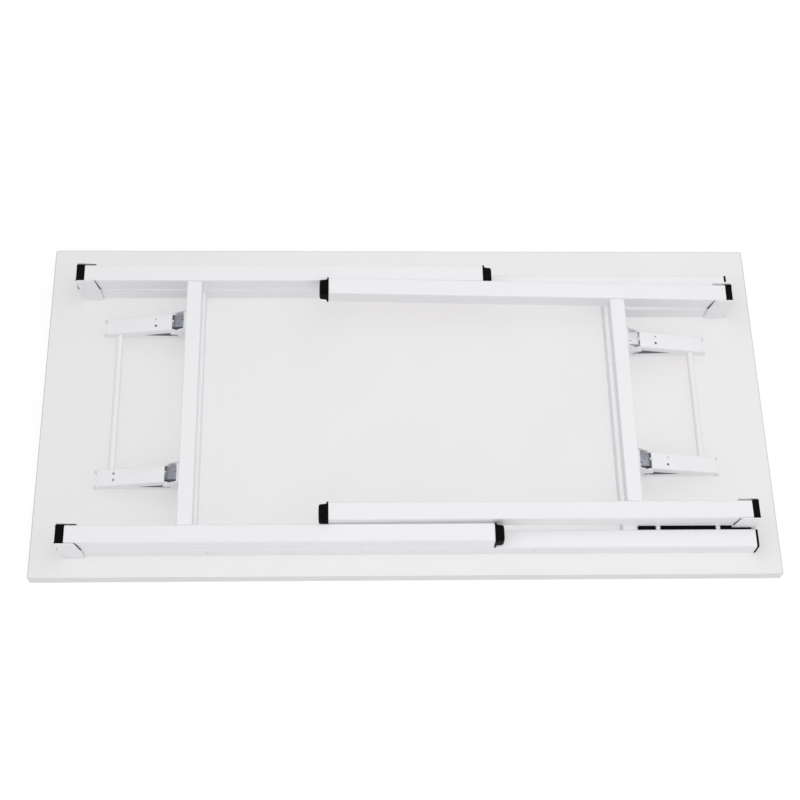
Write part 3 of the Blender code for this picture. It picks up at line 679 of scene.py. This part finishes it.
# Two small holes in an upper link's web, near the crossbar, or near the knee on the left front link
def cutLinkHoles(unit, end):
    link = bpy.data.objects[f"{unit}_{end}_upper_link_channel"]
    pin, knee = upperPin(unit, end), middle(f"{unit}_{end}_knee_pin")
    start, other = (knee, pin) if (unit, end) == ("left", "front") else (pin, knee)
    run = (other - start).normalized()
    out = Vector((0, 1, 0)).cross(run)
    out = out if out.z > 0 else -out
    for side in (-1, 1):
        place = start + run * brace["holeReach"] + Vector((0, side * brace["holeSpacing"] / 2, 0))
        drill(link, brace["holeRadius"], place + out * brace["holeFrom"],
              place + out * brace["holeTo"], sideCount=20)


for unit, end in sides:
    makeLink(f"{unit}_{end}_upper_link", f"{unit}_upper_links")
    makeLink(f"{unit}_{end}_lower_link", f"{unit}_lower_links")
    cutLinkHoles(unit, end)
print("brace links made")


# Brace bases and pins, white like the frame, with eased edges
def coatNode(nodeName, body, ease=0.0003):
    piece = copyNode(nodeName, f"{nodeName}_coated")
    easeEdges(piece, ease)
    finishPiece(piece, "whitePowderCoat", body, nodeName)


for unit, end in sides:
    coatNode(f"{unit}_{end}_brace_base", "tabletop_frame")
    coatNode(f"{unit}_{end}_base_pin", "tabletop_frame")
    coatNode(f"{unit}_{end}_knee_pin", f"{unit}_lower_links")
print("brace bases and pins made")


# Crossbar brackets: a zinc hood round the upper pin, between two white ears on the crossbar
ear = {
    "wall": 0.0014, "inner": 0.0166, "nose": 0.0046, "noseShare": 0.8, "foot": -0.0035, "top": 0.0190,
    "ease": 0.00025, "rivetRadius": 0.0032, "rivetHeight": 0.0011, "rivetRound": 0.0008,
    "holeRadius": 0.0014, "holes": ((0.0175, 0.0085), (0.0160, 0.0005)), "lap": 0.0002,
    "backStart": 0.0170, "backTop": 0.0106, "backRound": 0.0018,
}
hood = {
    "start": 0.0005, "nose": 0.0056, "top": 0.0100, "foot": -0.0050, "wall": 0.0012, "halfWidth": 0.0112,
    "topRound": 0.0048, "sideRound": 0.0014, "holeRadius": 0.0017, "hole": (0.0152, 0.0040),
    "holeFrom": 0.003, "holeTo": 0.002, "cheekEnd": 0.0045, "cheekShare": 0.98,
    "rivetRadius": 0.0024, "rivetHeight": 0.0009, "rivet": (0.0096, -0.0045), "rivetSink": 0.0004,
    "rivetLip": 0.0009, "rivetDish": 0.0005, "lap": 0.0002, "openFacing": 0.98,
}
barReach = 0.0218       # from the pin to the crossbar's face


def makeEar():
    wallTop = ear["inner"] + ear["wall"]
    piece = startBlock("ear", (-ear["nose"], ear["inner"], -ear["nose"]), (barReach, wallTop, ear["top"]))
    cutOff(piece, (0, 0, ear["nose"]), (ear["nose"] - ear["top"], 0, barReach))
    cutOff(piece, (0, 0, -ear["nose"]), (-(ear["foot"] + ear["nose"]), 0, -barReach))
    bevelEdges(piece, lambda edge: along(1)(edge) and middleOf(edge).x < -ear["nose"] / 2,
               ear["nose"] * ear["noseShare"], segments=5)
    easeEdges(piece, ear["ease"])
    for x, z in ear["holes"]:
        drill(piece, ear["holeRadius"], (x, ear["inner"] - near, z), (x, wallTop + near, z), sideCount=16)
    rivet = startRod("rivet", ear["rivetRadius"], (0, wallTop - ear["lap"], 0),
                     (0, wallTop + ear["rivetHeight"], 0), sideCount=20)
    pick(rivet, "FACE", facing((0, 1, 0)))
    bpy.ops.mesh.bevel(offset=ear["rivetRound"], segments=3, affect="EDGES")
    return joinPieces("ear", [piece, rivet])


# The strip that joins the two ears along the crossbar
def makeEarBack():
    half = ear["inner"] + ear["lap"]
    piece = startBlock("earBack", (ear["backStart"], -half, hood["foot"]), (barReach, half, ear["backTop"]))
    bevelEdges(piece, lambda edge: along(1)(edge) and middleOf(edge).x < barReach - near
               and middleOf(edge).z > 0, ear["backRound"], segments=3)
    deselectAll()
    return piece


def makeHood():
    half, top = hood["halfWidth"], hood["top"]
    piece = startBlock("hood", (hood["start"], -half, hood["foot"]), (barReach, half, top))
    bevelEdges(piece, lambda edge: along(1)(edge) and middleOf(edge).z > top - atPlane
               and middleOf(edge).x < hood["start"] + atPlane, hood["topRound"], segments=5)
    pick(piece, "FACE", lambda face: abs(face.normal.x) > hood["openFacing"]
         or facing((0, 0, -1))(face))
    bpy.ops.mesh.delete(type="FACE")
    bevelEdges(piece, lambda edge: abs(middleOf(edge).y) > half - atPlane and len(edge.link_faces) == 2
               and abs(edge.verts[0].co.y - edge.verts[1].co.y) < atPlane, hood["sideRound"], segments=3)
    applyModifier(piece, "SOLIDIFY", thickness=hood["wall"], offset=-1.0, use_even_offset=True)
    cheeks = []
    for side in (-1, 1):
        front, back = sorted((side * (half - hood["lap"]), side * (half - hood["wall"])))
        cheek = startBlock("cheek", (-hood["nose"], front, -hood["nose"]),
                           (hood["cheekEnd"], back, hood["nose"]))
        bevelEdges(cheek, lambda edge: along(1)(edge) and middleOf(edge).x < 0,
                   hood["nose"] * hood["cheekShare"], segments=6)
        deselectAll()
        cheeks.append(cheek)
    piece = joinPieces("hood", [piece, *cheeks])
    x, y = hood["hole"]
    drill(piece, hood["holeRadius"], (x, y, top - hood["holeFrom"]), (x, y, top + hood["holeTo"]),
          sideCount=16)
    x, y = hood["rivet"]
    rivet = startRod("rivet", hood["rivetRadius"], (x, y, top - hood["rivetSink"]),
                     (x, y, top + hood["rivetHeight"]), sideCount=18)
    pick(rivet, "FACE", facing((0, 0, 1)))
    bpy.ops.mesh.inset(thickness=hood["rivetLip"])
    extrudeBy((0, 0, -hood["rivetDish"]))
    return joinPieces("hood", [piece, rivet])


def makeCrossbarBrackets(unit):
    earMaster, backMaster, hoodMaster = makeEar(), makeEarBack(), makeHood()
    for end in ("front", "back"):
        place = placeAt(unit, upperPin(unit, end), legTilt(unit))
        # the right back hood gets the lighter zinc copy, a painted highlight
        hoodLook = "zincPaintedHighlight" if (unit, end) == ("right", "back") else "zincPlate"
        finishPiece(copyPiece(hoodMaster, f"{unit}_{end}_bracket_hood", place), hoodLook,
                    f"{unit}_leg_frame", f"{unit}_{end}_crossbar_bracket")
        pair = [copyPiece(earMaster, "ear", place @ Matrix.Diagonal((1, side, 1, 1))) for side in (1, -1)]
        editPiece(pair[1])      # the mirrored ear is inside out
        bpy.ops.mesh.flip_normals()
        deselectAll()
        back = copyPiece(backMaster, "earBack", place)
        finishPiece(joinPieces(f"{unit}_{end}_bracket_ears", [*pair, back]), "whitePowderCoat",
                    f"{unit}_leg_frame")
    dropPieces(earMaster, backMaster, hoodMaster)


for unit in ("left", "right"):
    makeCrossbarBrackets(unit)
print("crossbar brackets made")


# Weld beads at the ends of the crossbars and cross rails, modelled once
bead = {
    "length": 0.021, "radius": 0.0013, "ripples": 12, "rippleReach": 0.0002,
    "neck": 0.82, "endShare": 0.6, "sink": 0.0003,
}


def makeBead():
    half = bead["length"] / 2
    piece = startRod("bead", bead["radius"], (0, 0, -half), (0, 0, half), sideCount=8)
    pick(piece, "EDGE", along(2))
    bpy.ops.mesh.subdivide(number_cuts=bead["ripples"] * 2)
    for ripple in range(bead["ripples"]):
        level = -half + (ripple * 2 + 1) * bead["length"] / (bead["ripples"] * 2 + 1)
        pick(piece, "VERT", lambda corner: abs(corner.co.z - level) < bead["rippleReach"])
        bpy.ops.transform.resize(value=(bead["neck"], bead["neck"], 1.0))
    for side in (-1, 1):
        pick(piece, "FACE", facing((0, 0, side)))
        bpy.ops.transform.resize(value=(bead["endShare"], bead["endShare"], 1.0))
    deselectAll()
    return piece


def makeWelds(name, bar, body):
    low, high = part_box(bar)
    height = (low[2] + high[2]) / 2
    places = [(x, y + inset, height) for x in (low[0], high[0])
              for y, inset in ((low[1], bead["sink"]), (high[1], -bead["sink"]))]
    beads = [copyPiece(beadMaster, "bead", Matrix.Translation(place)) for place in places]
    finishPiece(joinPieces(name, beads), "whitePowderCoat", body, degrees=180)


beadMaster = makeBead()
for unit in ("left", "right"):
    makeWelds(f"{unit}_cross_rail_welds", f"{unit}_cross_rail", "tabletop_frame")
    makeWelds(f"{unit}_crossbar_welds", f"{unit}_crossbar", f"{unit}_leg_frame")
dropPieces(beadMaster)
print("weld beads made")


# Camera, floor and light

camera = {
    "lens": 69.67, "sensor": 36.0,
    "position": (-0.1102, -1.1122, 2.3460),
    "elevation": 64.156, "yaw": 5.188, "roll": 4.579,       # degrees
}


def makeCamera():
    data = bpy.data.cameras.new("camera")
    data.lens = camera["lens"]
    data.sensor_width = camera["sensor"]
    item = bpy.data.objects.new("camera", data)
    bpy.context.scene.collection.objects.link(item)
    elevation, yaw, roll = (math.radians(camera[key]) for key in ("elevation", "yaw", "roll"))
    look = Matrix(((1, 0, 0), (0, -math.sin(elevation), -math.cos(elevation)),
                   (0, math.cos(elevation), -math.sin(elevation))))
    turn = Matrix(((math.cos(yaw), -math.sin(yaw), 0), (math.sin(yaw), math.cos(yaw), 0), (0, 0, 1)))
    tip = Matrix(((math.cos(roll), -math.sin(roll), 0), (math.sin(roll), math.cos(roll), 0), (0, 0, 1)))
    right, down, forward = tip @ look @ turn
    item.matrix_world = Matrix((
        (right.x, -down.x, -forward.x, camera["position"][0]),
        (right.y, -down.y, -forward.y, camera["position"][1]),
        (right.z, -down.z, -forward.z, camera["position"][2]),
        (0, 0, 0, 1)))
    bpy.context.scene.camera = item


studio = {
    "floor": {"size": 24.0, "drop": 0.0005, "color": (0.9, 0.9, 0.9), "roughness": 0.9},
    # to the camera the floor is half glow and half lit, so that it is white and keeps the shadow
    "glow": {"share": 0.5, "near": 1.12, "far": 1.5, "start": 0.05, "end": 0.25},
    "worldStrength": 0.60,
    "lamps": {
        "overheadFill": {"position": (0.5, 0.8, 3.2), "size": 3.0, "power": 41.0, "shadow": False},
        "frontFill": {"position": (0.3, -3.0, 2.4), "size": 2.5, "power": 33.0, "shadow": False},
        "front": {"position": (0.3, -3.0, 2.4), "size": 2.5, "power": 6.0, "shadow": True},
    },
}


# One where a camera, glossy or transmission ray arrives
def seenRays(tree, place):
    x, y = place
    rays = addNode(tree, "ShaderNodeLightPath", (x, y))
    first = addNode(tree, "ShaderNodeMath", (x + 200, y), operation="MAXIMUM")
    second = addNode(tree, "ShaderNodeMath", (x + 400, y), operation="MAXIMUM")
    tree.links.new(rays.outputs["Is Camera Ray"], first.inputs[0])
    tree.links.new(rays.outputs["Is Glossy Ray"], first.inputs[1])
    tree.links.new(first.outputs["Value"], second.inputs[0])
    tree.links.new(rays.outputs["Is Transmission Ray"], second.inputs[1])
    return second.outputs["Value"]


# The floor's glow, stronger away from the desk, where the lamps light the floor less
def glowByDistance(tree, place):
    glow = studio["glow"]
    x, y = place
    spot = addNode(tree, "ShaderNodeTexCoord", (x, y))
    folded = addNode(tree, "ShaderNodeVectorMath", (x + 200, y), operation="ABSOLUTE")
    beyond = addNode(tree, "ShaderNodeVectorMath", (x + 400, y), operation="SUBTRACT")
    beyond.inputs[1].default_value = cadHigh        # half the desk's length and depth
    outside = addNode(tree, "ShaderNodeVectorMath", (x + 600, y), operation="MAXIMUM")
    outside.inputs[1].default_value = (0, 0, 0)
    distance = addNode(tree, "ShaderNodeVectorMath", (x + 800, y), operation="LENGTH")
    strength = addNode(tree, "ShaderNodeMapRange", (x + 1000, y), interpolation_type="SMOOTHSTEP")
    setInputs(strength, {"From Min": glow["start"], "From Max": glow["end"],
                         "To Min": glow["near"], "To Max": glow["far"]})
    link = tree.links.new
    link(spot.outputs["Object"], folded.inputs[0])
    link(folded.outputs["Vector"], beyond.inputs[0])
    link(beyond.outputs["Vector"], outside.inputs[0])
    link(outside.outputs["Vector"], distance.inputs[0])
    link(distance.outputs["Value"], strength.inputs["Value"])
    return strength.outputs["Result"]


def makeFloor():
    deselectAll()
    values = studio["floor"]
    bpy.ops.mesh.primitive_plane_add(size=values["size"], location=(0, 0, -values["drop"]))
    floor = bpy.context.object
    floor.name = "floor"
    material = bpy.data.materials.new("studioFloor")
    material.use_nodes = True
    tree = material.node_tree
    shader = tree.nodes["Principled BSDF"]
    setInputs(shader, {"Roughness": values["roughness"], "Base Color": (*values["color"], 1)})
    glow = addNode(tree, "ShaderNodeEmission", (0, -300))
    choose = addNode(tree, "ShaderNodeMixShader", (300, 0))
    share = addNode(tree, "ShaderNodeMath", (100, 300), operation="MULTIPLY")
    share.inputs[1].default_value = studio["glow"]["share"]
    link = tree.links.new
    link(glowByDistance(tree, (-1100, -300)), glow.inputs["Strength"])
    link(seenRays(tree, (-600, 300)), share.inputs[0])
    link(share.outputs["Value"], choose.inputs["Fac"])
    link(shader.outputs["BSDF"], choose.inputs[1])
    link(glow.outputs["Emission"], choose.inputs[2])
    link(choose.outputs["Shader"], tree.nodes["Material Output"].inputs["Surface"])
    floor.data.materials.append(material)


def makeWorld():
    world = bpy.data.worlds.new("studio")
    bpy.context.scene.world = world
    world.use_nodes = True
    tree = world.node_tree
    lit = tree.nodes["Background"]
    setInputs(lit, {"Color": (1, 1, 1, 1), "Strength": studio["worldStrength"]})
    seen = addNode(tree, "ShaderNodeBackground", (0, -200))
    setInputs(seen, {"Color": (1, 1, 1, 1), "Strength": 1.0})
    choose = addNode(tree, "ShaderNodeMixShader", (300, 0))
    tree.links.new(seenRays(tree, (-600, 200)), choose.inputs["Fac"])
    tree.links.new(lit.outputs["Background"], choose.inputs[1])
    tree.links.new(seen.outputs["Background"], choose.inputs[2])
    tree.links.new(choose.outputs["Shader"], tree.nodes["World Output"].inputs["Surface"])


def makeLamp(name, lamp):
    data = bpy.data.lights.new(name, "AREA")
    data.energy = lamp["power"]
    data.size = lamp["size"]
    data.use_shadow = lamp["shadow"]
    item = bpy.data.objects.new(name, data)
    bpy.context.scene.collection.objects.link(item)
    item.location = lamp["position"]
    item.rotation_euler = (-Vector(lamp["position"])).to_track_quat("-Z", "Y").to_euler()


makeCamera()
makeFloor()
makeWorld()
for lampName, lamp in studio["lamps"].items():
    makeLamp(lampName, lamp)
bpy.context.scene.view_settings.view_transform = "Standard"
print("camera, floor and light set")
